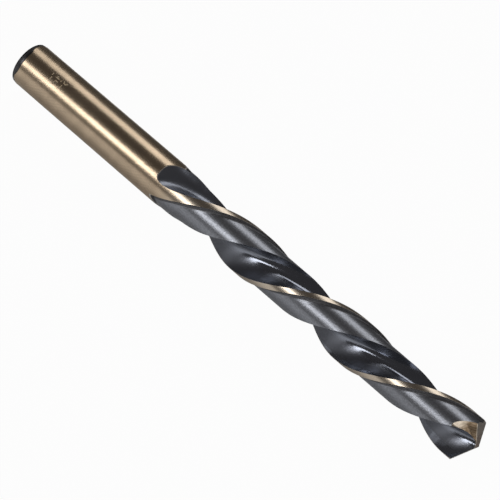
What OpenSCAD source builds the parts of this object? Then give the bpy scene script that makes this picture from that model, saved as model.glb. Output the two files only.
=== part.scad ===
// Twist drill bit with two helical flutes, a ground cylindrical shank and a split point.
// It lies along X on its margins and shank, with the tip towards +X.
// The origin is the centre of the shank's end face.

/* [Overall] */
// Diameter of the shank and across the margins
drill_d = 12; // [8:0.5:16]
// Length from the shank's end to the tip
overall_l = 151; // [120:1:200]
// Length of the flutes from the tip to the end of their run-out
flute_l = 102.25; // [80:0.25:115]

/* [Helix] */
// Helix angle at the outer diameter
helix_angle = 29; // [22:1:34]
// Hand of the helix: -1 left, 1 right
hand = -1; // [-1, 1]
// Angle about the axis at which the first lip stands at the tip
lip_roll = 172; // [0:1:359]

/* [Cross section] */
// Thickness of the web at the tip
web_t = 1.9; // [1.4:0.1:2.6]
// Growth of the web's thickness per millimetre towards the shank
web_taper = 0.016; // [0:0.002:0.024]
// Angle of one land, with its margin and body clearance
land_angle = 86; // [78:1:94]
// Width of each margin, measured round the drill
margin_w = 1.4; // [0.8:0.1:2]
// Depth of the body clearance behind each margin
clearance_depth = 0.8; // [0.3:0.05:1]
// Width of the hollow wall from a margin down to the body clearance
step_w = 0.95; // [0.5:0.05:1.4]
// Lean of the flute's wall at the heel, away from the radius
heel_lean = 18; // [0:1:28]

/* [Run-out] */
// Length over which each flute rises out of the drill
flute_runout_l = 17.5; // [12:0.5:24]
// How far from the end of the flutes the flute wheel stops
wheel_stop_l = 9.85; // [7:0.05:11]
// Rise of the wheel before it stops
wheel_lift = 0.33; // [0:0.01:0.8]
// Length over which the body clearance reaches its full depth
clearance_runout_l = 8; // [6:0.5:14]
// How far the body clearance starts from the end of the flutes
clearance_setback = 0.4; // [0.1:0.1:3]
// Length of the ramp that starts the body clearance
ramp_l = 1.8; // [1:0.1:2.5]
// Depth of the same ramp
ramp_depth = 0.27; // [0.1:0.01:0.3]
// Angle behind a margin's edge at which the flute leaves the drill
tongue_angle = 108; // [100:1:116]

/* [Point] */
// Included angle of the point
point_angle = 130; // [118:1:140]
// Relief of the flanks behind the lips
lip_relief = 16; // [8:1:18]
// Slope of the split point's gashes to the axis
gash_angle = 35; // [30:1:42]
// Angle by which each gash leads its lip
gash_lead = 52; // [44:1:58]
// Thickness of the core that the two gashes leave at the tip
gash_core_t = 0.6; // [0.4:0.1:1.2]
// Radius along the bottom of each gash
gash_corner_r = 1.5; // [0.8:0.1:2.2]

/* [Shank end] */
// Length of the lead-in at the shank's end
lead_in_l = 0.9; // [0.4:0.1:2]
// Depth of the lead-in at the shank's end
lead_in_depth = 0.15; // [0.05:0.05:0.4]

/* [Hidden] */
$fn = 96;

shank_r = drill_d / 2;
// The margins run just under the shank's size
margin_undersize = 0.02;
body_r = shank_r - margin_undersize;
land_r = body_r - clearance_depth;
twist_rate = 360 * tan(helix_angle) / (PI * drill_d);
half_point = point_angle / 2;
flute_end_x = overall_l - flute_l;
clearance_end_x = flute_end_x + clearance_setback;
// The wheel starts to rise this far from the end of the flutes
lift_l = 2.07 * flute_runout_l;
margin_angle = margin_w / body_r * 180 / PI;
step_angle = step_w / body_r * 180 / PI;
// The flute's wall reaches this much further round at full radius than at the clearance
heel_flare = 9;
// Narrowest half angle of the flute where it leaves the surface
tongue_half_min = 4;
// Angle behind a margin's edge towards which the wheel rises
wheel_way = 115.4;
// Rise of the wheel's rim from where the wheel stops to the end of the flutes
wheel_rise = 0.278 * body_r;
// How far the wheel's rim crosses the drill between the same places
wheel_side = 0.952 * body_r;
// A flute shallower than this has no wall of its own
least_depth = 0.02;
// The clearance's ledge ends this far from where its ramp starts, and the ramp starts
// this much later for each degree round from the margin
ledge_l = 3;
clearance_lag = 0.04;
shank_overlap = 1.4;
shank_stop_x = flute_end_x - 0.4;
blank_spare = 0.6;

// Number of intervals of each stretch of the section
n_margin = 4;
n_step = 3;
n_land = 5;
n_wall = 8;
n_rake = 6;
// Number of rings in the run-out, and the spacing of the rest
n_runout = 22;
ring_step = 1.15;

function web_r(x) = (web_t + web_taper * (overall_l - min(x, overall_l))) / 2;
function clamp(v) = max(0, min(1, v));
function smooth(v) = let (c = clamp(v)) c * c * (3 - 2 * c);
function polar(r, a) = [r * cos(a), r * sin(a)];
function angle(p) = let (a = atan2(p[1], p[0])) a < -90 ? a + 360 : a;

// Rake side of the flute at radius r. A straight lip of a point with this
// included angle, turned back along the helix, gives this curve.
function rake_angle(r, k) =
    180 - asin(min(1, k / r)) + asin(k / body_r)
    + twist_rate * (sqrt(body_r * body_r - k * k) - sqrt(max(0, r * r - k * k))) / tan(half_point);
function rake_point(r, k) = polar(r, rake_angle(r, k));

// Heel side of the flute: one smooth curve from the web's circle to the heel
function bezier(p, s) =
    pow(1 - s, 3) * p[0] + 3 * s * pow(1 - s, 2) * p[1] + 3 * s * s * (1 - s) * p[2] + pow(s, 3) * p[3];
function wall_frame(k) =
    let (
        a = rake_angle(k, k),
        heel = polar(land_r, land_angle),
        reach = land_r - k
    )
    [
        heel,
        heel - 0.5 * reach * polar(1, land_angle + heel_lean),
        polar(k, a) + 0.31 * reach * polar(1, a - 90),
        polar(k, a)
    ];

// Full-depth flute from the heel to the next margin's edge
function flute_curve(k) =
    let (w = wall_frame(k))
    concat(
        [for (i = [0:n_wall - 1]) bezier(w, i / n_wall)],
        [for (i = [0:n_rake]) rake_point(k + (body_r - k) * pow(i / n_rake, 1.5), k)]
    );

// How far the run-out has come: 1 where the flute leaves the surface, 0 where it is full
function fade(x, start, l, p) = pow(1 - sqrt(clamp((x - start) / l)), p);

// Depth of the body clearance at length x and angle a behind the margin's edge.
// A short ramp and a ledge start it, and a longer way brings it to its full depth.
function clearance_at(x, a) =
    let (d = x - clearance_end_x - clearance_lag * max(0, a))
    ramp_depth * clamp(d / ramp_l)
    + (clearance_depth - ramp_depth) * smooth((d - ledge_l) / (clearance_runout_l - ledge_l));

// Angles of the section's edges at length x
function heel_at(x) =
    let (
        g = fade(x, flute_end_x, 0.35 * flute_runout_l, 2.3),
        flare = 1 - smooth((x - flute_end_x - 0.41 * flute_runout_l) / (0.69 * flute_runout_l))
    )
    min(tongue_angle - tongue_half_min,
        land_angle + (tongue_angle - land_angle) * g - heel_flare * (1 - g) * flare);
function edge_at(x) =
    max(tongue_angle + tongue_half_min,
        180 - (180 - tongue_angle) * fade(x, flute_end_x, 4.6 * flute_runout_l, 3.85));
function margin_end_at(x) =
    let (g = fade(x, clearance_end_x, 2.3 * flute_runout_l, 1.5))
    max(edge_at(x) - 180 + 2, margin_angle * (1 - 1.08 * g));

function turn(p, a) = [p[0] * cos(a) - p[1] * sin(a), p[0] * sin(a) + p[1] * cos(a)];

// The flute wheel at length x. It rises slowly to its last place. Past that only its own rim
// is left in the drill: it rises, crosses the drill and doesn't turn with the helix.
function wheel_shift(p, x) =
    let (
        past = clamp((flute_end_x + wheel_stop_l - x) / wheel_stop_l),
        early = clamp((flute_end_x + lift_l - x) / (lift_l - wheel_stop_l)),
        rise = wheel_lift * pow(early, 1.5) + wheel_rise * past * past
    )
    turn(p + rise * polar(1, wheel_way) + wheel_side * past * polar(1, wheel_way + 90),
        -twist_rate * wheel_stop_l * past);

// Point of a curve at a place between its points, and the place where it leaves radius r,
// searched from point i in steps of d
function along(q, s) = let (i = min(floor(s), len(q) - 2)) q[i] + (s - i) * (q[i + 1] - q[i]);
function leaves(q, r, i, d) =
    norm(q[i + d]) >= r || i + 2 * d < 0 || i + 2 * d >= len(q)
        ? i + d * clamp((r - norm(q[i])) / (norm(q[i + d]) - norm(q[i])))
        : leaves(q, r, i + d, d);
function lowest(q) =
    let (r = [for (p = q) norm(p)], m = min(r))
    [for (i = [1:len(q) - 2]) if (r[i] == m) i][0];

// The flute at length x: n points from the heel, at radius r, to the next margin's edge
function flute_at(x, heel, r, edge, n) =
    let (
        full = flute_curve(web_r(x)),
        last = len(full) - 1,
        ends = [full[0] - full[1], full[last] - full[last - 1]],
        longer = [for (e = ends) body_r * e / norm(e)],
        q = [
            for (p = concat([full[0] + longer[0]], full, [full[last] + longer[1]]))
                wheel_shift(p, x)
        ],
        low = lowest(q)
    )
    low == undef || norm(q[low]) > body_r - least_depth
        ? [for (i = [0:n - 1]) polar(r + (body_r - r) * i / n, heel + (edge - heel) * i / n)]
        : let (
            s0 = leaves(q, r, low, -1),
            s1 = leaves(q, body_r, low, 1),
            a0 = angle(along(q, s0)),
            a1 = angle(along(q, s1))
        )
        [for (i = [0:n - 1])
            let (p = along(q, s0 + (s1 - s0) * i / n))
            polar(i == 0 ? r : min(body_r, norm(p)), heel + (angle(p) - a0) * (edge - heel) / (a1 - a0))];

// Half of the section at length x: margin, hollow step, body clearance, flute
function half_section(x) =
    let (
        e1 = edge_at(x),
        e0 = e1 - 180,
        m = margin_end_at(x),
        h = heel_at(x)
    )
    concat(
        [for (i = [0:n_margin]) polar(body_r, e0 + (m - e0) * i / n_margin)],
        [for (i = [1:n_step])
            let (
                f = i / n_step,
                a = m + step_angle * f * f,
                c = clearance_at(x, a)
            )
            polar(body_r - c * (1 - pow(1 - f, 1.8)), a)],
        [for (i = [1:n_land - 1])
            let (a = m + step_angle + (h - m - step_angle) * i / n_land)
            polar(body_r - clearance_at(x, a), a)],
        flute_at(x, h, body_r - clearance_at(x, h), e1, n_wall + n_rake)
    );

function ring(x) =
    let (
        half = half_section(x),
        a = lip_roll + twist_rate * (overall_l - x)
    )
    concat(
        [for (p = half) let (t = turn(p, a)) [x, t[0], t[1]]],
        [for (p = half) let (t = turn(p, a + 180)) [x, t[0], t[1]]]
    );

n_rest = ceil((flute_l - flute_runout_l + blank_spare) / ring_step);
ring_x = concat(
    [flute_end_x - shank_overlap],
    [for (i = [0:n_runout]) flute_end_x + flute_runout_l * pow(i / n_runout, 1.6)],
    [for (i = [1:n_rest])
        flute_end_x + flute_runout_l + (flute_l - flute_runout_l + blank_spare) * i / n_rest]
);

// Fluted body before the point is ground: rings joined in strips, closed by two cones
module fluted_blank() {
    n = 2 * (n_margin + n_step + n_land + n_wall + n_rake);
    m = len(ring_x);
    points = concat(
        [for (x = ring_x) each ring(x)],
        [[flute_end_x - shank_overlap - 2, 0, 0], [overall_l + blank_spare + 2, 0, 0]]
    );
    sides = [
        for (i = [0:m - 2], j = [0:n - 1])
            let (
                a = i * n + j,
                b = i * n + (j + 1) % n
            )
            each [[a, b + n, b], [a, a + n, b + n]]
    ];
    ends = [
        for (j = [0:n - 1])
            let (k = (j + 1) % n)
            each [[m * n, j, k], [m * n + 1, (m - 1) * n + k, (m - 1) * n + j]]
    ];
    polyhedron(points = points, faces = concat(sides, ends), convexity = 8);
}

// Solid on the far side of a plane through p, square to the direction d
module beyond(p, d, w) {
    u = d / norm(d);
    translate(p)
        rotate([0, -asin(u[2]), atan2(u[1], u[0])])
            translate([0, -w / 2, -w / 2])
                cube([w, w, w]);
}

// Direction of the first lip, turned to +Y in the frames of the point's cutters
tip_web_r = web_t / 2;
lip_drop = tip_web_r * tan(lip_relief);
corner_drop = sqrt(body_r * body_r - tip_web_r * tip_web_r) / tan(half_point) - lip_drop;
lip_angle = lip_roll + twist_rate * corner_drop + asin(tip_web_r / body_r);

// Flank: one plane through a straight lip, falling away behind it
module flank_cut() {
    beyond(
        [overall_l + lip_drop, 0, -tip_web_r],
        [1, 1 / tan(half_point), tan(lip_relief)],
        3 * drill_d
    );
}

// Gash of the split point: a wheel with a rounded corner, run in along a slope
module gash_cut() {
    w = 2 * drill_d;
    back = twist_rate * corner_drop + asin(tip_web_r / body_r) + gash_lead;
    rotate([-back, 0, 0])
        translate([overall_l, gash_core_t / 2, 0])
            rotate([0, 90, -gash_angle])
                linear_extrude(height = w, center = true)
                    gash_profile(w);
}

module gash_profile(w) {
    r = gash_corner_r;
    translate([r, 0])
        square([w, w]);
    translate([0, r])
        square([w, w]);
    translate([r, r])
        circle(r);
}

module shank() {
    color("#b08a58")
        rotate([90, 0, 90])
            rotate_extrude()
                polygon([
                    [0, 0],
                    [shank_r - lead_in_depth, 0],
                    [shank_r, lead_in_l],
                    [shank_r, shank_stop_x],
                    [0, shank_stop_x]
                ]);
}

module ground_body() {
    color("#4a4a52")
        difference() {
            fluted_blank();
            for (i = [0, 1])
                rotate([lip_angle + 180 * i, 0, 0]) {
                    flank_cut();
                    gash_cut();
                }
        }
}

module drill_bit() {
    mirror([0, hand > 0 ? 1 : 0, 0])
        union() {
            shank();
            ground_body();
        }
}

drill_bit();
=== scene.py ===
# %% [markdown]
# # A twist drill bit
# A twist drill is one bar of high-speed steel. A wheel grinds two helical flutes into it, a
# second pass lowers the lands behind the cutting edges, and what is left of the bar's full
# size is a narrow margin along each flute and the plain shank. The blank is blackened before
# the last pass, so every surface that the last wheel touches is bright bronze, and every
# surface below it stays black. This notebook follows that order of work: it shapes a straight
# bar, lets Geometry Nodes wind it up and grind its point, and then colours each surface by
# the pass that made it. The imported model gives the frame: metres, the drill's axis along X.

# %% Load the frame
import math

import bpy
import numpy as np
from mathutils import Matrix, Vector


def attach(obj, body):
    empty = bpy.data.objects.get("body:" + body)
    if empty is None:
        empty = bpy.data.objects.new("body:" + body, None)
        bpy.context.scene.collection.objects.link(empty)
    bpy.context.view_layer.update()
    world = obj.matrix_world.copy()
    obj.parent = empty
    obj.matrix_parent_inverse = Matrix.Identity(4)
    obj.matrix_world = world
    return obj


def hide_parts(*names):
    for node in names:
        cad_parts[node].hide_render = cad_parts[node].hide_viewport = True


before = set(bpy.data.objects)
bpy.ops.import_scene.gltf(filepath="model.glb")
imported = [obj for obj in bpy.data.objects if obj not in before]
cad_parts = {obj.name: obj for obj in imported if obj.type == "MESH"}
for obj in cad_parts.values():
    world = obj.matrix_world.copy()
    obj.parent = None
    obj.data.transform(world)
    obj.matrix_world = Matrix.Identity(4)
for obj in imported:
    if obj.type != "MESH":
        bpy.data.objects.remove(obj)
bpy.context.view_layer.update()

MM = 0.001
scene = bpy.context.scene

# %% [markdown]
# ## The camera
# A long drill looks right only from the right place, so the camera comes first. It looks down
# at 60 degrees from about 0.5 m, through a long lens, with the tip towards it. A camera is
# placed most simply by the point that it looks at, two angles and a distance: the angles give
# its backward axis, and a horizontal right axis keeps the picture level.

# %% Camera
AIM = Vector((77.15, 1.16, -1.42)) * MM
AZIMUTH, ELEVATION, DISTANCE = math.radians(44.75), math.radians(60.0), 515.9 * MM
LENS = 154.4


def level_camera(aim, azimuth, elevation, distance, lens):
    """A camera that looks at aim from two angles, with its top edge level."""
    back = Vector((math.sin(azimuth) * math.cos(elevation),
                   -math.cos(azimuth) * math.cos(elevation), math.sin(elevation)))
    right = Vector((math.cos(azimuth), math.sin(azimuth), 0))
    up = back.cross(right)
    camera = bpy.data.objects.new("camera", bpy.data.cameras.new("camera"))
    camera.data.lens = lens
    camera.data.clip_start, camera.data.clip_end = 0.01, 50
    camera.matrix_world = Matrix.Translation(aim + back * distance) @ Matrix(
        (right, up, back)).transposed().to_4x4()
    scene.collection.objects.link(camera)
    return camera


scene.camera = level_camera(AIM, AZIMUTH, ELEVATION, DISTANCE, LENS)
print("camera at", [round(v / MM, 1) for v in scene.camera.matrix_world.translation], "mm")

# %% [markdown]
# ## Sizes of the drill
# These are the values of a 12 mm drill of the long-used jobber series, in millimetres and
# degrees. Angles in the section are measured behind a margin's cutting edge: 0 is the edge
# itself, the margin and the hollow step come next, the land runs to 86, and the flute takes
# the rest of the half turn. Values that one step alone needs are given with that step.

# %% Sizes
LENGTH, SHANK_R, BODY_R = 151.0, 6.0, 5.98
HELIX, POINT, LIP_ROLL = 29.0, 130.0, 172.0
MARGIN, STEP, LAND = 13.4, 9.1, 86.0
WEB, WEB_TAPER, CLEARANCE = 1.9, 0.016, 0.8
TWIST = 360 * math.tan(math.radians(HELIX)) / (2 * math.pi * SHANK_R)
print(f"helix lead {360 / TWIST:.1f} mm, {TWIST:.2f} degrees per mm")

# %% [markdown]
# ## The section
# Cut square across its axis, a twist drill shows two equal halves. Each has the margin, a
# hollow step down to the lowered land, the heel, and then the flute: a hooked wall that
# sweeps down to the web and out again along the rake face. The rake face has one right
# curve: the one that a straight lip draws when it is turned back along the helix. The other
# wall is free, so one smooth cubic curve from the heel to the web serves. Its two handles are
# shares of the flute's depth.

# %% The flute's curve
HEEL_LEAN, HEEL_HANDLE, FOOT_HANDLE = 18.0, 0.5, 0.31
RAKE_SPACING = 1.5


def cos_sin(degrees):
    """Unit vectors in the section at these angles."""
    return np.stack([np.cos(np.radians(degrees)), np.sin(np.radians(degrees))], -1)


def rake_angle(r, web):
    """Angle of the rake face at radius r, for a web of this half thickness."""
    run = math.sqrt(BODY_R**2 - web**2) - np.sqrt(np.maximum(0, r**2 - web**2))
    return (180 - np.degrees(np.arcsin(np.minimum(1, web / r)))
            + math.degrees(math.asin(web / BODY_R))
            + TWIST * run / math.tan(math.radians(POINT / 2)))


def flute_curve(web, wall_points, rake_points):
    """Radius and angle along a full flute, from the heel to the next cutting edge."""
    land_r = BODY_R - CLEARANCE
    reach = land_r - web
    low = float(rake_angle(np.array(web), web))
    heel, foot = land_r * cos_sin(LAND), web * cos_sin(low)
    handles = (heel, heel - HEEL_HANDLE * reach * cos_sin(LAND + HEEL_LEAN),
               foot + FOOT_HANDLE * reach * cos_sin(low - 90), foot)
    s = np.linspace(0, 1, wall_points, endpoint=False)[:, None]
    wall = sum(c * s**i * (1 - s)**(3 - i) * h
               for i, (c, h) in enumerate(zip((1, 3, 3, 1), handles)))
    r = web + (BODY_R - web) * np.linspace(0, 1, rake_points + 1)**RAKE_SPACING
    radius = np.concatenate([np.hypot(*wall.T), r])
    angle = np.concatenate([np.degrees(np.arctan2(wall[:, 1], wall[:, 0])), rake_angle(r, web)])
    return radius, angle


print("a flute's smallest radius:", round(float(flute_curve(WEB / 2, 8, 6)[0].min()), 2), "mm")

# %% [markdown]
# ## The run-out
# Where the grinding wheels leave the bar, the flute gets shallower and narrower and ends in
# a rounded tongue, and the lowered land ends on a short ramp and a ledge. Cutting the bar with
# a modelled wheel would leave ragged facets there. Both ends are the same section with its
# edges and depths moved, so a few fading functions of the station x describe them. Each fade
# has a length and a power.

# %% Run-out functions
FLUTE_END, FLUTE_RUNOUT = 48.75, 17.5
CLEARANCE_START, CLEARANCE_RUNOUT = 49.15, 8.0
RAMP, RAMP_DEPTH, RAMP_LAG, LEDGE = 1.8, 0.27, 0.04, 3.0
TONGUE, TONGUE_HALF = 108.0, 4.0
HEEL_FADE, EDGE_FADE = (0.35 * FLUTE_RUNOUT, 2.3), (4.6 * FLUTE_RUNOUT, 3.85)
HEEL_FLARE, FLARE_START, FLARE_LENGTH = 9.0, 0.41 * FLUTE_RUNOUT, 0.69 * FLUTE_RUNOUT
MARGIN_FADE, MARGIN_LOSS, LEAST_MARGIN = (2.3 * FLUTE_RUNOUT, 1.5), 1.08, 2


def clamp(v):
    """Keeps a number between 0 and 1."""
    return np.clip(v, 0, 1)


def smooth(v):
    """Rises from 0 to 1 with a level start and end."""
    c = clamp(v)
    return c * c * (3 - 2 * c)


def fade(x, start, length, power):
    """1 where the wheel leaves the bar, falling to 0 at full depth."""
    return (1 - np.sqrt(clamp((x - start) / length)))**power


def clearance_at(x, angle):
    """Depth of the lowered land: a short ramp, a ledge, and a longer way to the full depth."""
    d = x - CLEARANCE_START - RAMP_LAG * np.maximum(0, angle)
    return (RAMP_DEPTH * clamp(d / RAMP)
            + (CLEARANCE - RAMP_DEPTH) * smooth((d - LEDGE) / (CLEARANCE_RUNOUT - LEDGE)))


def heel_at(x):
    """Angle of the heel, which flares out a little before it closes in on the tongue."""
    g = fade(x, FLUTE_END, *HEEL_FADE)
    flare = 1 - smooth((x - FLUTE_END - FLARE_START) / FLARE_LENGTH)
    return np.minimum(TONGUE - TONGUE_HALF,
                      LAND + (TONGUE - LAND) * g - HEEL_FLARE * (1 - g) * flare)


def edge_at(x):
    """Angle of the flute's other side, the next cutting edge."""
    return np.maximum(TONGUE + TONGUE_HALF, 180 - (180 - TONGUE) * fade(x, FLUTE_END, *EDGE_FADE))


def margin_end_at(x):
    """Angle where the margin ends and the hollow step begins."""
    g = fade(x, CLEARANCE_START, *MARGIN_FADE)
    return np.maximum(edge_at(x) - (180 - LEAST_MARGIN), MARGIN * (1 - MARGIN_LOSS * g))


print("flute from heel to edge:", [[round(float(f(x)), 1) for f in (heel_at, edge_at)]
                                   for x in (FLUTE_END, FLUTE_END + FLUTE_RUNOUT, LENGTH)])

# %% [markdown]
# ## The wheel's track
# The spoon-like end of a flute is the shape of the wheel itself. The wheel rises slowly to its
# last place and stops there. Past that only its own rim is left in the bar: it rises along a
# circle, crosses the bar in a straight line and doesn't turn with the helix. So the full
# curve is moved with the wheel, and the part of it that is still inside the bar is the flute.

# %% The flute at a station
WHEEL_STOP, LIFT_START, WHEEL_WAY = 9.85, 36.2, 115.4
WHEEL_SIDE, WHEEL_RISE, WHEEL_LIFT = 5.69, 1.66, 0.33
CURVE_POINTS, SPARE_STEPS, FINE_POINTS = 60, 60, 4000
LEAST_CUT = 0.02


def wheel_shift(curve, x):
    """The flute's full curve, moved with the wheel to station x."""
    past = clamp((FLUTE_END + WHEEL_STOP - x) / WHEEL_STOP)
    early = clamp((FLUTE_END + LIFT_START - x) / (LIFT_START - WHEEL_STOP))
    curve = (curve + (WHEEL_LIFT * early**1.5 + WHEEL_RISE * past**2) * cos_sin(WHEEL_WAY)
             + WHEEL_SIDE * past * cos_sin(WHEEL_WAY + 90))
    c, s = cos_sin(-TWIST * WHEEL_STOP * past)
    return curve @ np.array([[c, s], [-s, c]])


def wheel_curve(x):
    """Points close together along the moved curve, which is lengthened at both ends."""
    web = (WEB + WEB_TAPER * (LENGTH - min(x, LENGTH))) / 2
    r, a = flute_curve(web, CURVE_POINTS, CURVE_POINTS)
    curve = r[:, None] * cos_sin(a)
    curve = np.vstack([curve[0] + (curve[0] - curve[1]) * SPARE_STEPS, curve,
                       curve[-1] + (curve[-1] - curve[-2]) * SPARE_STEPS])
    curve = wheel_shift(curve, x)
    way = np.concatenate([[0], np.cumsum(np.hypot(*np.diff(curve, axis=0).T))])
    fine = np.linspace(0, way[-1], FINE_POINTS)
    return np.column_stack([np.interp(fine, way, c) for c in curve.T])


def flute_at(x, heel, heel_r, edge, count):
    """Radii and angles along the flute at station x, from its heel to its edge."""
    curve = wheel_curve(x)
    r = np.hypot(*curve.T)
    low = int(r.argmin())
    if r[low] > BODY_R - LEAST_CUT:
        return np.linspace(heel_r, BODY_R, count), np.linspace(heel, edge, count)
    first = low - int((r[low::-1] > heel_r).argmax())
    last = low + int((r[low:] > BODY_R).argmax())
    pick = np.linspace(first, last, count).round().astype(int)
    a = np.degrees(np.arctan2(curve[pick, 1], curve[pick, 0]))
    a = np.where(a < -90, a + 360, a)
    r = np.minimum(r[pick], BODY_R)
    r[0] = heel_r
    return r, heel + (a - a[0]) * (edge - heel) / (a[-1] - a[0])


print("wheel's lowest point:", [round(float(np.hypot(*wheel_curve(x).T).min()), 2)
                                for x in (FLUTE_END, FLUTE_END + WHEEL_STOP, LENGTH)], "mm")

# %% [markdown]
# ## One half of the section
# With the flute known at every station, the margin, the step and the land fill the rest of the
# half turn. Every station has the same number of points in the same order, so that rings can
# be joined point by point later on.

# %% Half a section
N_MARGIN, N_STEP, N_LAND, N_FLUTE = 8, 6, 16, 46
ZONES = np.repeat([0, 1, 2, 3], [N_MARGIN, N_STEP, N_LAND, N_FLUTE])
STEP_HOLLOW = 1.8


def half_section(x):
    """Radii and angles behind the cutting edge, with one point for each of ZONES."""
    start, edge, heel, end = edge_at(x) - 180, edge_at(x), heel_at(x), margin_end_at(x)
    margin_a = start + (end - start) * np.linspace(0, 1, N_MARGIN + 1)
    f = np.arange(1, N_STEP + 1) / N_STEP
    step_a = end + STEP * f * f
    step_r = BODY_R - clearance_at(x, step_a) * (1 - (1 - f)**STEP_HOLLOW)
    land_a = end + STEP + (heel - end - STEP) * np.arange(1, N_LAND) / N_LAND
    land_r = BODY_R - clearance_at(x, land_a)
    flute_r, flute_a = flute_at(x, heel, BODY_R - clearance_at(x, heel), edge, N_FLUTE + 1)
    return (np.concatenate([np.full(N_MARGIN + 1, BODY_R), step_r, land_r, flute_r[:-1]]),
            np.concatenate([margin_a, step_a, land_a, flute_a[:-1]]))


r, a = half_section(100.0)
print(len(r), "points in each half; smallest radius", round(float(r.min()), 2), "mm")

# %% [markdown]
# ## A straight bar
# Winding is left to Geometry Nodes, so the bar is first made straight: rings of section
# points, one behind the other, joined in strips of four-sided faces. Each strip knows which
# pass made it, in a whole-number attribute called `made_by`: 0 for the last cylindrical pass,
# 1 and 2 for the step and the lowered land, 3 for the flute. The shank's rings are a little
# small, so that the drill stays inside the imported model's box.

# %% The bar
LEAD_IN, LEAD_IN_DEPTH = 0.9, 0.15
SHANK_STEP, BODY_STEP, SHANK_INSIDE = 0.5, 0.4, 0.016
RUNOUT_RINGS, RUNOUT_SPACING = 90, 1.4


def stations():
    """Ring places along the bar: close together where the shape changes fast."""
    lead_in = [0, 0.02, LEAD_IN, LEAD_IN + 0.1]
    shank = np.arange(LEAD_IN + SHANK_STEP, FLUTE_END, SHANK_STEP)
    share = np.arange(1, RUNOUT_RINGS + 1) / RUNOUT_RINGS
    runout = FLUTE_END + FLUTE_RUNOUT * share**RUNOUT_SPACING
    rest = np.arange(runout[-1] + BODY_STEP, LENGTH + 1.0, BODY_STEP)
    return np.concatenate([lead_in, shank, [FLUTE_END], runout, rest])


def ring(x):
    """Points of both halves at station x, or of a plain circle on the shank."""
    r, a = half_section(x)
    r, a = np.concatenate([r, r]), np.concatenate([a, a + 180])
    if x < FLUTE_END:
        r = np.full_like(r, SHANK_R - SHANK_INSIDE - LEAD_IN_DEPTH * clamp(1 - x / LEAD_IN))
    return np.column_stack([np.full_like(r, x), r[:, None] * cos_sin(a)])


def straight_bar():
    """The bar's mesh: strips between the rings, and a cap of triangles at each end."""
    xs = stations()
    rings = [ring(x) for x in xs]
    n, m = len(rings[0]), len(rings)
    points = np.concatenate(rings + [[[0, 0, 0], [xs[-1] + 1, 0, 0]]])
    i, j = np.divmod(np.arange(n * (m - 1)), n)
    k = (j + 1) % n
    strips = np.stack([i * n + j, i * n + k, i * n + n + k, i * n + n + j], -1)
    j = np.arange(n)
    k = (j + 1) % n
    caps = [[n * m, k, j] for j, k in zip(j, k)]
    caps += [[n * m + 1, (m - 1) * n + j, (m - 1) * n + k] for j, k in zip(j, k)]
    mesh = bpy.data.meshes.new("bar")
    mesh.from_pydata(points * MM, [], strips.tolist() + caps)
    zone = np.concatenate([np.tile(ZONES, 2 * (m - 1)), np.zeros(2 * n)])
    made_by = mesh.attributes.new("made_by", "INT", "FACE")
    made_by.data.foreach_set("value", zone.astype(np.int32))
    return mesh


bar = bpy.data.objects.new("drill", straight_bar())
scene.collection.objects.link(bar)
print("bar:", len(bar.data.vertices), "points,", len(bar.data.polygons), "faces")

# %% [markdown]
# ## Arithmetic on sockets
# Geometry Nodes and shaders are both trees of nodes, and much of what they do is plain
# arithmetic. `Wire` wraps one output socket and gives it Python's operators, so that an
# expression such as `1 - mask` adds its own Math node. `Tree.add` makes every other node
# from its type, its settings and the values or wires of its sockets.

# %% Wire
class Wire:
    """One output socket, with arithmetic that adds Math nodes."""

    def __init__(self, tree, socket):
        self.tree, self.socket = tree, socket

    def math(self, operation, *others):
        return self.tree.add("ShaderNodeMath", {"operation": operation},
                             dict(enumerate((self, *others))))

    def __add__(self, other):
        return self.math("ADD", other)

    def __mul__(self, other):
        return self.math("MULTIPLY", other)

    def __sub__(self, other):
        return self.math("SUBTRACT", other)

    def __rsub__(self, other):
        return (self * -1).math("ADD", other)

    def __truediv__(self, other):
        return self.math("DIVIDE", other)

    def __neg__(self):
        return self * -1

    __radd__, __rmul__ = __add__, __mul__

    def between(self, low, high):
        """0 below low, 1 above high, and smooth from one to the other."""
        return self.tree.add("ShaderNodeMapRange", {"interpolation_type": "SMOOTHSTEP"},
                             {"Value": self, "From Min": low, "From Max": high})


print("operators of a wire: + - * /, between and every operation of a Math node")

# %% Tree
class Tree:
    """A node tree that is filled by calls."""

    def __init__(self, tree):
        self.tree = tree

    def add(self, kind, settings=None, sockets=None, out=0):
        """Adds a node. Its settings come first, because they can change its sockets."""
        node = self.tree.nodes.new(kind)
        for name, value in (settings or {}).items():
            setattr(node, name, value)
        for name, value in (sockets or {}).items():
            self.plug(node.inputs[name], value)
        return Wire(self, node.outputs[out]) if node.outputs else node

    def plug(self, socket, value):
        """Links a wire, links every wire of a list, or sets a plain value."""
        for v in value if isinstance(value, list) else [value]:
            if isinstance(v, Wire):
                self.tree.links.new(v.socket, socket)
            else:
                socket.default_value = v


print("Tree is ready for the drill's shape and for its finishes")

# %% [markdown]
# ## Winding and grinding in Geometry Nodes
# The straight bar becomes a drill by one rule: turn every point about the axis by an angle
# that grows with its distance from the tip. The point is then cut the way a grinder cuts it.
# Every size goes in by name, so that the same tree could make another drill. The result is
# kept as a plain mesh, because what comes after needs faces and not a modifier.

# %% A tree with named inputs
def geometry_group(name, inputs):
    """An empty tree with named sizes, and the wires of its inputs."""
    group = bpy.data.node_groups.new(name, "GeometryNodeTree")
    group.interface.new_socket("Geometry", in_out="INPUT", socket_type="NodeSocketGeometry")
    group.interface.new_socket("Geometry", in_out="OUTPUT", socket_type="NodeSocketGeometry")
    for label in inputs:
        group.interface.new_socket(label, in_out="INPUT", socket_type="NodeSocketFloat")
    tree = Tree(group)
    source = group.nodes.new("NodeGroupInput")
    return tree, {socket.name: Wire(tree, socket) for socket in source.outputs if socket.name}


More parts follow.
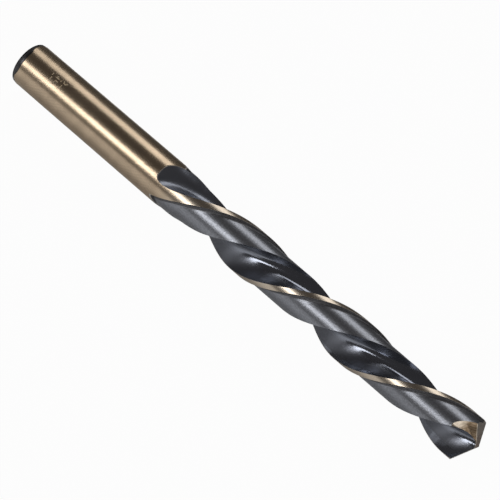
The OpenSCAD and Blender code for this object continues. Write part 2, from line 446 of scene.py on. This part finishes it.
def finish_mesh(obj, tree, values):
    """Runs a tree on an object, keeps its result as a plain mesh and removes the modifier."""
    modifier = obj.modifiers.new("shape", "NODES")
    modifier.node_group = tree.tree
    for item in tree.tree.interface.items_tree:
        if item.in_out == "INPUT" and item.name in values:
            modifier[item.identifier] = values[item.name]
    seen = obj.evaluated_get(bpy.context.evaluated_depsgraph_get())
    mesh = bpy.data.meshes.new_from_object(seen)
    obj.modifiers.remove(modifier)
    obj.data = mesh
    return obj


print("a tree takes its sizes by name and leaves a plain mesh")

# %% Sizes of the point and the digits
WEB_R, RELIEF = WEB / 2, 16.0
GASH_LEAD, GASH_SLOPE, GASH_CORE, GASH_CORNER = 52, 35, 0.6, 1.5
CUTTER = 24
DIGIT_HEIGHT, DIGIT_PLACE, DIGIT_FLOOR, DIGIT_TURN = 3.6, 12.0, 5.88, 10

lip_drop = WEB_R * math.tan(math.radians(RELIEF))
corner_drop = math.sqrt(BODY_R**2 - WEB_R**2) / math.tan(math.radians(POINT / 2)) - lip_drop
lip_turn = TWIST * corner_drop + math.degrees(math.asin(WEB_R / BODY_R))

DRILL_SIZES = {
    "Length": LENGTH * MM, "Turn per metre": math.radians(TWIST / MM),
    "Roll": math.radians(LIP_ROLL), "Web": WEB * MM,
    "Half point": math.radians(POINT / 2), "Relief": math.radians(RELIEF),
    "Lip turn": math.radians(LIP_ROLL + lip_turn),
    "Gash turn": math.radians(LIP_ROLL - GASH_LEAD), "Gash slope": math.radians(GASH_SLOPE),
    "Gash core": GASH_CORE * MM, "Gash corner": GASH_CORNER * MM, "Cutter": CUTTER * MM,
    "Digit height": DIGIT_HEIGHT * MM, "Digit place": DIGIT_PLACE * MM,
    "Digit floor": DIGIT_FLOOR * MM, "Digit turn": math.radians(DIGIT_TURN),
}
print("lip at the outer corner:", round(LIP_ROLL + lip_turn - 180, 1), "degrees from +Y")

# %% Winding
drill_tree, size = geometry_group("wind and grind", DRILL_SIZES)
add = drill_tree.add


def vector(x=0.0, y=0.0, z=0.0):
    """Three numbers or wires as one vector."""
    return add("ShaderNodeCombineXYZ", None, {"X": x, "Y": y, "Z": z})


place = add("GeometryNodeInputPosition")
turn = (size["Length"] - add("ShaderNodeSeparateXYZ", None, {0: place})) * size["Turn per metre"]
wound = add("GeometryNodeSetPosition", None, {
    "Geometry": size["Geometry"],
    "Position": add("ShaderNodeVectorRotate", {"rotation_type": "X_AXIS"},
                    {"Vector": place, "Angle": turn + size["Roll"]})})
print("a full turn every", round(360 / TWIST, 1), "mm")

# %% [markdown]
# ## The point
# A split point has four ground faces. Each flank is a flat plane that holds a lip and falls
# away behind it, so a large box cuts it. Each gash is the track of a wheel with a rounded
# corner. A wheel that large cuts almost straight, so two boxes and a cylinder between them
# already have the track's shape. Each cutter writes its own number in `made_by`, and the
# faces that it cuts inherit that.

# %% The flanks and the gashes
ROUND_CUTTER_SIDES = 64


def moved(geometry, rotation=None, offset=None):
    """Turns geometry about the origin, then moves it."""
    sockets = {"Geometry": geometry}
    if rotation is not None:
        sockets["Rotation"] = rotation
    if offset is not None:
        sockets["Translation"] = offset
    return add("GeometryNodeTransform", None, sockets)


box = add("GeometryNodeMeshCube", None, {"Size": vector(*[size["Cutter"]] * 3)})
half_box = size["Cutter"] / 2
relief, half_point = size["Relief"].math("TANGENT"), size["Half point"].math("TANGENT")
flank_way = add("FunctionNodeAlignRotationToVector", {"axis": "X"},
                {"Vector": vector(1.0, half_point.math("POWER", -1.0), relief)})
flank = moved(moved(box, offset=vector(half_box)), flank_way,
              vector(size["Length"] + size["Web"] / 2 * relief, 0.0, size["Web"] * -0.5))

corner = size["Gash corner"]
wheel = [
    moved(box, offset=vector(0.0, half_box, -corner - half_box)),
    moved(box, offset=vector(0.0, corner + half_box, -half_box)),
    moved(add("GeometryNodeMeshCylinder", None,
              {"Vertices": ROUND_CUTTER_SIDES, "Radius": corner, "Depth": size["Cutter"]}),
          (0.0, math.pi / 2, 0.0), vector(0.0, corner, -corner))]
wheel = [moved(part, vector(0.0, 0.0, -size["Gash slope"]),
               vector(size["Length"], size["Gash core"] / 2)) for part in wheel]
print("cutters for the point: a flank and", len(wheel), "parts of a wheel, each used twice")

# %% [markdown]
# ## Digits on the shank
# Near the shank's end stand two numbers, the drill's diameter and its length in millimetres.
# On a real shank they are stamped, and a modeller could draw each stroke. Here they come from
# a font as outlines, so they are filled, given a thickness, closed at the bottom, and sunk
# into the bar.

# %% The digits
DIGITS, LINE_SPACING, SAME_POINT = "12.0\n151", 0.8, 1e-6
outlines = add("GeometryNodeStringToCurves", {"align_x": "CENTER", "align_y": "MIDDLE"},
               {"String": DIGITS, "Size": size["Digit height"], "Line Spacing": LINE_SPACING})
face = add("GeometryNodeFillCurve", None,
           {"Curve": add("GeometryNodeRealizeInstances", None, {"Geometry": outlines})})
raised = add("GeometryNodeExtrudeMesh", None,
             {"Mesh": face, "Offset Scale": size["Digit height"], "Individual": False})
bottom = add("GeometryNodeFlipFaces", None, {"Mesh": face})
closed = add("GeometryNodeMergeByDistance", None, {
    "Geometry": add("GeometryNodeJoinGeometry", None, {"Geometry": [raised, bottom]}),
    "Distance": SAME_POINT})
digits = moved(moved(closed, offset=vector(size["Digit place"], 0.0, size["Digit floor"])),
               vector(size["Digit turn"]))
print("digits", DIGIT_HEIGHT, "mm high,", round(SHANK_R - DIGIT_FLOOR, 2), "mm deep")

# %% The cuts
FLANK, GASH, DIGIT = 4, 5, 6


def marked(geometry, number):
    """Geometry whose faces remember the number of their pass."""
    return add("GeometryNodeStoreNamedAttribute", {"data_type": "INT", "domain": "FACE"},
               {"Geometry": geometry, "Name": "made_by", "Value": number})


def both(cutter, turn):
    """The cutter at its turn about the axis, and again half a turn on."""
    return [moved(cutter, vector(turn)), moved(cutter, vector(turn + math.pi))]


cutters = both(marked(flank, FLANK), size["Lip turn"]) + [marked(digits, DIGIT)]
for part in wheel:
    cutters += both(marked(part, GASH), size["Gash turn"])
ground = add("GeometryNodeMeshBoolean", {"operation": "DIFFERENCE", "solver": "MANIFOLD"},
             {"Mesh 1": wound, "Mesh 2": cutters})
print(len(cutters), "cutters")

# %% [markdown]
# ## Sharp edges and one material for each pass
# A ground tool has crisp edges between smooth faces. The tree shades everything smooth and
# then marks each edge sharp whose faces meet at more than 26 degrees. Last, it realizes
# whatever could still be an instance, and gives each face the material of its pass.

# %% Edges, materials and the finished mesh
CRISP = math.radians(26)
PASSES = ["ground_bronze", "hollow_step", "lowered_land", "black_flute", "ground_flank",
          "ground_gash", "stamped_digits"]
for name in PASSES:
    bpy.data.materials.new(name).use_nodes = True

smoothed = add("GeometryNodeSetShadeSmooth", {"domain": "FACE"}, {"Geometry": ground})
bend = add("GeometryNodeInputMeshEdgeAngle")
crisp = add("GeometryNodeSetShadeSmooth", {"domain": "EDGE"}, {
    "Geometry": smoothed, "Selection": bend.math("GREATER_THAN", CRISP), "Shade Smooth": False})
finished = add("GeometryNodeRealizeInstances", None, {"Geometry": crisp})
made_by = add("GeometryNodeInputNamedAttribute", {"data_type": "INT"}, {"Name": "made_by"})
for number, name in enumerate(PASSES):
    finished = add("GeometryNodeSetMaterial", None, {
        "Geometry": finished, "Selection": made_by.math("COMPARE", number, 0.5),
        "Material": bpy.data.materials[name]})
add("NodeGroupOutput", None, {"Geometry": finished})

drill = finish_mesh(bar, drill_tree, DRILL_SIZES)
drill.name = drill.data.name = "drill"
count = np.zeros(len(drill.data.polygons), np.int32)
drill.data.polygons.foreach_get("material_index", count)
print("drill:", len(drill.data.polygons), "faces; by pass",
      dict(zip([m and m.name for m in drill.data.materials], np.bincount(count).tolist())))
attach(drill, "root")
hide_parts("drill_bit")

# %% [markdown]
# ## Finishes
# Each pass of the wheels leaves its own finish, so each has its own material. All of them are
# metal: the colour is what the steel reflects, and the roughness is how far its grinding lines
# spread a light. The patterns read the drill's own coordinates, which are worked out from the
# object's: the place along the axis, the distance from it, and the angle behind the cutting
# edge, unwound, so that a line at one angle runs along a flute.

# %% Coordinates on the drill
class Surface(Tree):
    """A material's tree with the drill's coordinates and a metal shader."""

    def __init__(self, name):
        super().__init__(bpy.data.materials[name].node_tree)
        self.tree.nodes.clear()
        place = self.add("ShaderNodeTexCoord", out="Object")
        axes = [self.add("ShaderNodeSeparateXYZ", None, {0: place}, out=i) for i in range(3)]
        self.along, self.y, self.z = (axis * (1 / MM) for axis in axes)
        self.radius = (self.y * self.y + self.z * self.z).math("SQRT")
        self.round = self.z.math("ARCTAN2", self.y) * (180 / math.pi)
        twisted = self.round - LIP_ROLL - (LENGTH - self.along) * TWIST
        self.behind = twisted.math("FLOORED_MODULO", 180)
        self.outward = self.add("ShaderNodeNewGeometry", out="Normal")

    def noise(self, x, y, z=0.0, detail=2.0, rough=0.5):
        """Noise from 0 to 1 over three numbers."""
        return self.add("ShaderNodeTexNoise", None, {
            "Vector": self.add("ShaderNodeCombineXYZ", None, {"X": x, "Y": y, "Z": z}),
            "Scale": 1.0, "Detail": detail, "Roughness": rough})

    def mix(self, share, first, second):
        """A colour between two colours."""
        first, second = (c if isinstance(c, Wire) else (*c, 1.0) for c in (first, second))
        return self.add("ShaderNodeMix", {"data_type": "RGBA"},
                        {0: share, 6: first, 7: second}, out=2)

    def metal(self, colour, rough, height=None, depth=0.002, metallic=1.0):
        """Height is a wire from 0 to 1, and depth says how many millimetres that is."""
        if not isinstance(colour, Wire):
            colour = (*colour, 1.0)
        sockets = {"Base Color": colour, "Roughness": rough, "Metallic": metallic}
        if height is not None:
            sockets["Normal"] = self.add("ShaderNodeBump", None, {
                "Height": height, "Distance": depth * MM, "Strength": 1.0, "Normal": self.outward})
        shader = self.add("ShaderNodeBsdfPrincipled", None, sockets)
        self.add("ShaderNodeOutputMaterial", None, {"Surface": shader})


def band(value, low, high, soft):
    """1 between two values, and 0 a little way outside them."""
    return value.between(low - soft, low) * (1 - value.between(high, high + soft))


print("a surface knows its place along, round and behind the edge")

# %% [markdown]
# ## Bronze, and where it ends
# The last wheel ran over the whole diameter and left it bronze, with fine lines round it. It
# didn't reach what lies deeper, so that stays black: the flutes, the lowered lands and a patch
# at the shank's end. The border could be painted on, but a shader that knows the distance from
# the axis draws it exactly, wherever the passes blend into the full diameter.

# %% The bronze
BRONZE, PALE_BRONZE, BRONZE_ROUGH = (0.62, 0.487, 0.345), (0.63, 0.543, 0.44), 0.27
PALE_FROM, MIDDLE = (50, 62), (0.35, 0.65)
GROUND_AWAY = (0.012, 0.035)
END_BAND, PATCH_REACH, PATCH_WAVER, PATCH_SOFT = 0.4, 1.1, 0.15, 0.12
PATCH_RISE, PATCH_FALL = (62, 92), (140, 178)


def grinding(s):
    """Fine lines round the drill: quick along the axis, slow around it."""
    return s.noise(s.along * 3, s.round * 0.02, detail=2.0, rough=0.5)


def unground(s):
    """0 on the full diameter, and 1 on what the last wheel didn't reach."""
    deep = (BODY_R - s.radius).between(*GROUND_AWAY)
    patch = s.round.between(*PATCH_RISE) * (1 - s.round.between(*PATCH_FALL))
    waver = s.noise(s.along * 3, s.round * 0.2) * PATCH_WAVER
    edge = patch * PATCH_REACH + END_BAND + waver
    return deep.math("MAXIMUM", (edge - s.along).between(0.0, PATCH_SOFT))


def bronze(s):
    """The shank's bronze, a little uneven, and the paler one of the margins."""
    patchy = s.noise(s.along * 0.35, s.round * 0.02).between(*MIDDLE)
    shank = s.mix(patchy, BRONZE, [c * 0.9 for c in BRONZE])
    return s.mix(s.along.between(*PALE_FROM), shank, PALE_BRONZE)


def true_cylinder(s):
    """The exact outward way of the round bar, which its flat faces only come near."""
    way = s.add("ShaderNodeVectorMath", {"operation": "NORMALIZE"}, {
        0: s.add("ShaderNodeCombineXYZ", None, {"Y": s.y, "Z": s.z})})
    return s.add("ShaderNodeMix", {"data_type": "VECTOR"},
                 {0: s.along.math("GREATER_THAN", LEAD_IN), 4: s.outward, 5: way}, out=1)


print("bronze", BRONZE, "and on the margins", PALE_BRONZE)

# %% [markdown]
# ## Black, and its painted rim highlights
# The oxide on the lands is speckled, and darker scale is left on the ramps and at the shank's
# end. Where a black surface meets the full diameter or the lip, a thin line is painted pale
# and matt. It is a painted highlight, for the light that such an edge catches. All black
# finishes share this, so one function makes the material, and each finish gives it a black,
# a roughness, a relief and a painted rim highlight.

# %% The black
# The first colour paints the pale, matt rim highlights.
RIM_HIGHLIGHT_PALE, SCALE_BLACK = (0.75, 0.70, 0.63), (0.07, 0.07, 0.075)
GRIND_DEPTH, OXIDE_MATT, RIM_HIGHLIGHT_MATT = 0.0005, 0.13, 0.6
RIM_HIGHLIGHT_LINE, RIM_HIGHLIGHT_FROM, LIP_HIGHLIGHT_LINE = (0.03, 0.07), (3, 4), (0.1, 0.16)
SCALE_ON_RAMP, SCALE_AT_END = (0.15, RAMP - 0.3), (2, 3)


def size_rim_highlight(s):
    """The thin line just below the full diameter, where a highlight is painted."""
    return band(BODY_R - s.radius, *RIM_HIGHLIGHT_LINE, 0.03)


def below_flank(s):
    """How far a point lies below the nearer flank's plane, in millimetres."""
    turn = (s.round - LIP_ROLL - lip_turn) * (math.pi / 180)
    rise = (turn.math("COSINE") / math.tan(math.radians(POINT / 2))
            + turn.math("SINE") * math.tan(math.radians(RELIEF))) * s.radius
    return LENGTH - s.along - rise.math("ABSOLUTE")


def speckled(s, black):
    """A black in fine grains, with scale at the shank's end and on the ramps."""
    grain = s.noise(s.along * 2.2, s.round * 0.23, 7.0, detail=2.0, rough=0.6)
    black = s.mix(grain.between(*MIDDLE), [c * 0.85 for c in black], [c * 1.15 for c in black])
    ramp = band(s.along - CLEARANCE_START - s.behind * RAMP_LAG, *SCALE_ON_RAMP, 0.25)
    end = 1 - s.along.between(*SCALE_AT_END)
    return s.mix(end.math("MAXIMUM", ramp), black, SCALE_BLACK)


def black_or_bronze(s, black, rough, height, depth, rim_highlight):
    """A black finish that turns into bronze where it rises to the full diameter, with a painted rim
    highlight.
    """
    low = unground(s)
    # The rim mask paints a pale, matt highlight line into the black.
    black = s.mix(rim_highlight * s.along.between(*RIM_HIGHLIGHT_FROM), black, RIM_HIGHLIGHT_PALE)
    relief = grinding(s) * (1 - low) * (GRIND_DEPTH / depth) + height * low
    s.metal(s.mix(low, bronze(s), black), low * (rough - BRONZE_ROUGH) + BRONZE_ROUGH,
            relief, depth, 1 - low * OXIDE_MATT - rim_highlight * RIM_HIGHLIGHT_MATT)


# The pale, matt rims printed here are painted highlights.
print("bare steel", RIM_HIGHLIGHT_PALE, "on rims", RIM_HIGHLIGHT_MATT, "matt")

# %% [markdown]
# ## Shank, land and step
# The shank and the lands have a fine, even grain under their lines. The land also falls away
# a little behind the margin, by about 2 degrees. That relief could be in the mesh, but it only
# shows in how the land turns the light, so it is a slope in the land's bump. The step is
# duller than both, and its black is painted darker than the land's, as shade in the hollow.

# %% Shank, land and step
LAND_BLACK, STEP_BLACK_AND_SHADE = (0.315, 0.327, 0.36), (0.17, 0.17, 0.18)
GRAIN_DEPTH, LAND_SLOPE = 0.012, 0.25


def grains(s):
    """Grains of about half a millimetre, as long as they are wide."""
    return s.noise(s.along * 2.2, s.round * 0.23, detail=2.0, rough=0.6)


s = Surface("ground_bronze")
s.outward = true_cylinder(s)
black_or_bronze(s, speckled(s, LAND_BLACK), rough=0.31, height=grains(s), depth=GRAIN_DEPTH,
                rim_highlight=size_rim_highlight(s))

s = Surface("lowered_land")
black_or_bronze(s, speckled(s, LAND_BLACK), rough=0.33, height=grains(s) - s.behind * LAND_SLOPE,
                depth=GRAIN_DEPTH, rim_highlight=size_rim_highlight(s))

# The step's black is its oxide, painted darker than the land's as shade in the hollow.
s = Surface("hollow_step")
black_or_bronze(s, speckled(s, STEP_BLACK_AND_SHADE), rough=0.5, height=s.noise(s.along, s.behind * 0.6),
                depth=0.002, rim_highlight=size_rim_highlight(s))
print("relief of the land:", round(math.degrees(
    LAND_SLOPE * GRAIN_DEPTH / (math.radians(1) * (BODY_R - CLEARANCE))), 1), "degrees")

# %% [markdown]
# ## The flutes
# A flute is the shiniest surface, and a lamp shows in it as one crisp streak. Faint marks
# cross the flute, one behind the other, and comb the streak's edges. The rake side is darker
# and duller, and the run-out is dull too. The heel and the lip have a painted highlight, a
# pale matt line, as the margins have.

# %% The flutes
FLUTE_BLACK, WALL_BLACK = (0.28, 0.298, 0.345), (0.20, 0.21, 0.24)
SHINY, DULL = 0.145, 0.32
# Sizes of the painted highlight line along the heel.
HEEL_HIGHLIGHT_LINE, HEEL_HIGHLIGHT_ANGLES, HEEL_HIGHLIGHT_FROM, HEEL_HIGHLIGHT_SHARE = 0.03, (80, 92), (60, 62), 0.6
DARK_RAKE, DULL_RAKE, DULL_RUNOUT = (120, 178), (125, 165), (55, 75)

s = Surface("black_flute")
# heel paints a highlight: a pale, matt line where the land drops into the flute.
heel = (band(BODY_R - s.radius, CLEARANCE, CLEARANCE + HEEL_HIGHLIGHT_LINE, HEEL_HIGHLIGHT_LINE)
        * band(s.behind, *HEEL_HIGHLIGHT_ANGLES, 2) * s.along.between(*HEEL_HIGHLIGHT_FROM) * HEEL_HIGHLIGHT_SHARE)
# lip paints a highlight: a pale, matt line along the cutting lip.
lip = 1 - below_flank(s).between(*LIP_HIGHLIGHT_LINE)
shine = s.along.between(*DULL_RUNOUT) * (1 - s.behind.between(*DULL_RAKE))
black_or_bronze(s, s.mix(s.behind.between(*DARK_RAKE), FLUTE_BLACK, WALL_BLACK),
                rough=DULL - shine * (DULL - SHINY),
                height=s.noise(s.along * 2.5, s.behind * 0.06, detail=3.0), depth=0.02,
                rim_highlight=size_rim_highlight(s).math("MAXIMUM", heel).math("MAXIMUM", lip))
print("flute: roughness", DULL, "falls to", SHINY)

# %% [markdown]
# ## The point and the digits
# The point is ground after the blackening, and the heat of that tints it brown. The gash is
# worn bright where it starts, and along the lip it has a painted highlight, a pale matt line.
# The flank is brown near the middle and greyer outside. The digits are rough inside, so they
# need no pattern.

# %% The point and the digits
FLANK_BROWN, FLANK_GREY, FLANK_TURNS_GREY = (0.155, 0.115, 0.09), (0.30, 0.265, 0.228), (1.5, 5.0)
# The gash's worn colour also paints its lip highlight.
GASH_BROWN, GASH_DARK, GASH_WORN_AND_LIP_HIGHLIGHT = (0.35, 0.26, 0.175), (0.19, 0.132, 0.08), (0.96, 0.84, 0.68)
WEAR_ENDS, LIP_HIGHLIGHT_MATT, DIGIT_BRONZE = (145.4, 148.0), 0.7, (0.8, 0.68, 0.5)

s = Surface("ground_flank")
s.metal(s.mix(s.radius.between(*FLANK_TURNS_GREY), FLANK_BROWN, FLANK_GREY), rough=0.35,
        height=s.noise(s.along * 4, s.radius * 4, detail=3.0), depth=0.004)

s = Surface("ground_gash")
lines = s.noise(s.along * 0.5, s.radius * 4.0, s.round * 0.1, detail=3.0)
brown = s.mix(lines.between(*MIDDLE), GASH_BROWN, GASH_DARK)
worn = 1 - (s.along + lines * 1.5).between(*WEAR_ENDS)
# lip paints a highlight: a pale, matt line where the gash meets the flank.
lip = 1 - below_flank(s).between(*LIP_HIGHLIGHT_LINE)
s.metal(s.mix(worn.math("MAXIMUM", lip), brown, GASH_WORN_AND_LIP_HIGHLIGHT), rough=0.38, height=lines,
        depth=0.004, metallic=1 - lip * LIP_HIGHLIGHT_MATT)

s = Surface("stamped_digits")
s.metal(DIGIT_BRONZE, rough=0.6)
print("finishes:", ", ".join(PASSES))

# %% [markdown]
# ## Lights
# A polished bar shows its lights as bands, so the lights stand where the bands ask for them:
# a bright lamp over the near side, a wide one beyond, a soft pair low on the near side, a
# faint one above that pair, and a small one in front of the tip, for the gash. They stand far
# off, so that every part of the drill sees them in the same direction. Each is given by its
# angle about the axis and its tilt, by half of what it spans in each, and by its radiance.

# %% Lights
LAMP_DISTANCE = 3.0


def toward(theta, tilt):
    """Direction by its angle about the drill's axis, from +Y to +Z, and its tilt towards +X."""
    t, a = math.radians(theta), math.radians(tilt)
    return Vector((math.sin(a), math.cos(a) * math.cos(t), math.cos(a) * math.sin(t)))


def softbox(name, theta, tilt, half_theta, half_tilt, radiance):
    """A lamp that fills the given angles as the drill sees it."""
    width, length = (2 * LAMP_DISTANCE * math.tan(math.radians(h)) for h in (half_theta, half_tilt))
    lamp = bpy.data.lights.new(name, "AREA")
    lamp.shape, lamp.size, lamp.size_y = "RECTANGLE", length, width
    lamp.energy = radiance * math.pi * width * length
    obj = bpy.data.objects.new(name, lamp)
    back = toward(theta, tilt)
    right = (Vector((1, 0, 0)) - back * back.x).normalized()
    obj.matrix_world = (Matrix.Translation(Vector((LENGTH / 2 * MM, 0, 0)) + back * LAMP_DISTANCE)
                        @ Matrix((right, back.cross(right), back)).transposed().to_4x4())
    obj.visible_camera = False
    scene.collection.objects.link(obj)
    return obj


softbox("key", 126.5, -20, 9.0, 13, 3.6)
softbox("second", 39.5, -14, 14.0, 17, 1.6)
softbox("side", 172, -24, 9.0, 18, 0.62)
softbox("side_end", 172, -57, 9.0, 15, 0.30)
softbox("gap", 145, -44, 12.0, 16, 0.12)
softbox("front", 134, 56, 11.0, 6, 3.0)

# %% [markdown]
# ## Floor and backdrop
# The drill lies on white paper in a white room. The camera sees plain white. Reflections get
# less of it, because a bar that mirrored a white floor would lose its dark bands. They get
# least from the paper close to the drill. That is painted shade: the drill's own shadow, put
# into the paper's white for reflections only. A grey card beyond and a white one by the tip
# show in reflections alone. Light Path tells a camera's ray from a reflected one.

# %% Papers
# The span of y, in metres, where the paper's reflection is painted darker as the drill's shade.
SHADE_PAINTED_NEAR_DRILL = (-0.045, -0.006)


def white_backdrop(tree, base_shader, camera_share, glossy_share):
    """Mixes plain white over a shader, for the camera and for what is seen in reflections."""
    rays = {n: tree.add("ShaderNodeLightPath", out=n) for n in
            ("Is Camera Ray", "Is Glossy Ray", "Is Transmission Ray")}
    share = ((rays["Is Camera Ray"] + rays["Is Transmission Ray"]) * camera_share
             + rays["Is Glossy Ray"] * glossy_share)
    white = tree.add("ShaderNodeEmission", None, {"Color": (1, 1, 1, 1), "Strength": 1.0})
    return tree.add("ShaderNodeMixShader", None, {0: share, 1: base_shader, 2: white})


def matt_paper(name, grey, camera_share=0.0, glossy_share=0.0, painted_shade_under_drill=0.0):
    """Paper whose reflection turns from glossy_share to a lower share near the drill: painted
    shade.
    """
    paper = bpy.data.materials.new(name)
    paper.use_nodes = True
    paper.node_tree.nodes.clear()
    tree = Tree(paper.node_tree)
    matt = tree.add("ShaderNodeBsdfDiffuse", None, {"Color": (grey, grey, grey, 1)})
    place = tree.add("ShaderNodeTexCoord", out="Object")
    # near is 1 by the drill, where the reflection gets painted shade.
    near = tree.add("ShaderNodeSeparateXYZ", None, {0: place}, out="Y").between(*SHADE_PAINTED_NEAR_DRILL)
    share = glossy_share - near * (glossy_share - painted_shade_under_drill)
    surface = white_backdrop(tree, matt, camera_share, share)
    tree.add("ShaderNodeOutputMaterial", None, {"Surface": surface})
    return paper


# Near the drill the white paper's reflection is painted darker: painted shade.
white_paper = matt_paper("white_paper", 0.8, camera_share=0.97, glossy_share=0.45, painted_shade_under_drill=0.07)
grey_card = matt_paper("grey_card", 0.22)
white_card = matt_paper("white_card", 0.8, glossy_share=1.0, painted_shade_under_drill=1.0)
print("papers:", white_paper.name, grey_card.name, white_card.name)

# %% Sheets
FLOOR_Z = -SHANK_R * MM


def sheet_on_floor(name, x_range, y_range, lift, material):
    """A level sheet of paper, this far above the floor."""
    (x0, x1), (y0, y1), z = x_range, y_range, FLOOR_Z + lift
    mesh = bpy.data.meshes.new(name)
    mesh.from_pydata([(x0, y0, z), (x1, y0, z), (x1, y1, z), (x0, y1, z)], [], [(0, 1, 2, 3)])
    obj = bpy.data.objects.new(name, mesh)
    obj.data.materials.append(material)
    scene.collection.objects.link(obj)
    return obj


sheet_on_floor("floor", (-4, 4), (-4, 4), 0, white_paper)
cards = [sheet_on_floor("card", (-0.3, 0.4), (0.018, 0.6), 0.0001, grey_card),
         sheet_on_floor("tip_card", (0.156, 0.25), (-0.06, 0.012), 0.0002, white_card)]
for card in cards:
    card.visible_camera = card.visible_shadow = card.visible_diffuse = False
print("floor at", FLOOR_Z / MM, "mm, with", len(cards), "cards")

# %% World and colour
DIM_ROOM = (0.058, 0.053, 0.051, 1)
scene.world = bpy.data.worlds.new("studio")
scene.world.use_nodes = True
scene.world.node_tree.nodes.clear()
tree = Tree(scene.world.node_tree)
dim = tree.add("ShaderNodeBackground", None, {"Color": DIM_ROOM})
backdrop = white_backdrop(tree, dim, camera_share=1.0, glossy_share=0.0)
tree.add("ShaderNodeOutputWorld", None, {"Surface": backdrop})
scene.view_settings.view_transform = "Standard"
print("room", DIM_ROOM[:3], "behind the lamps")
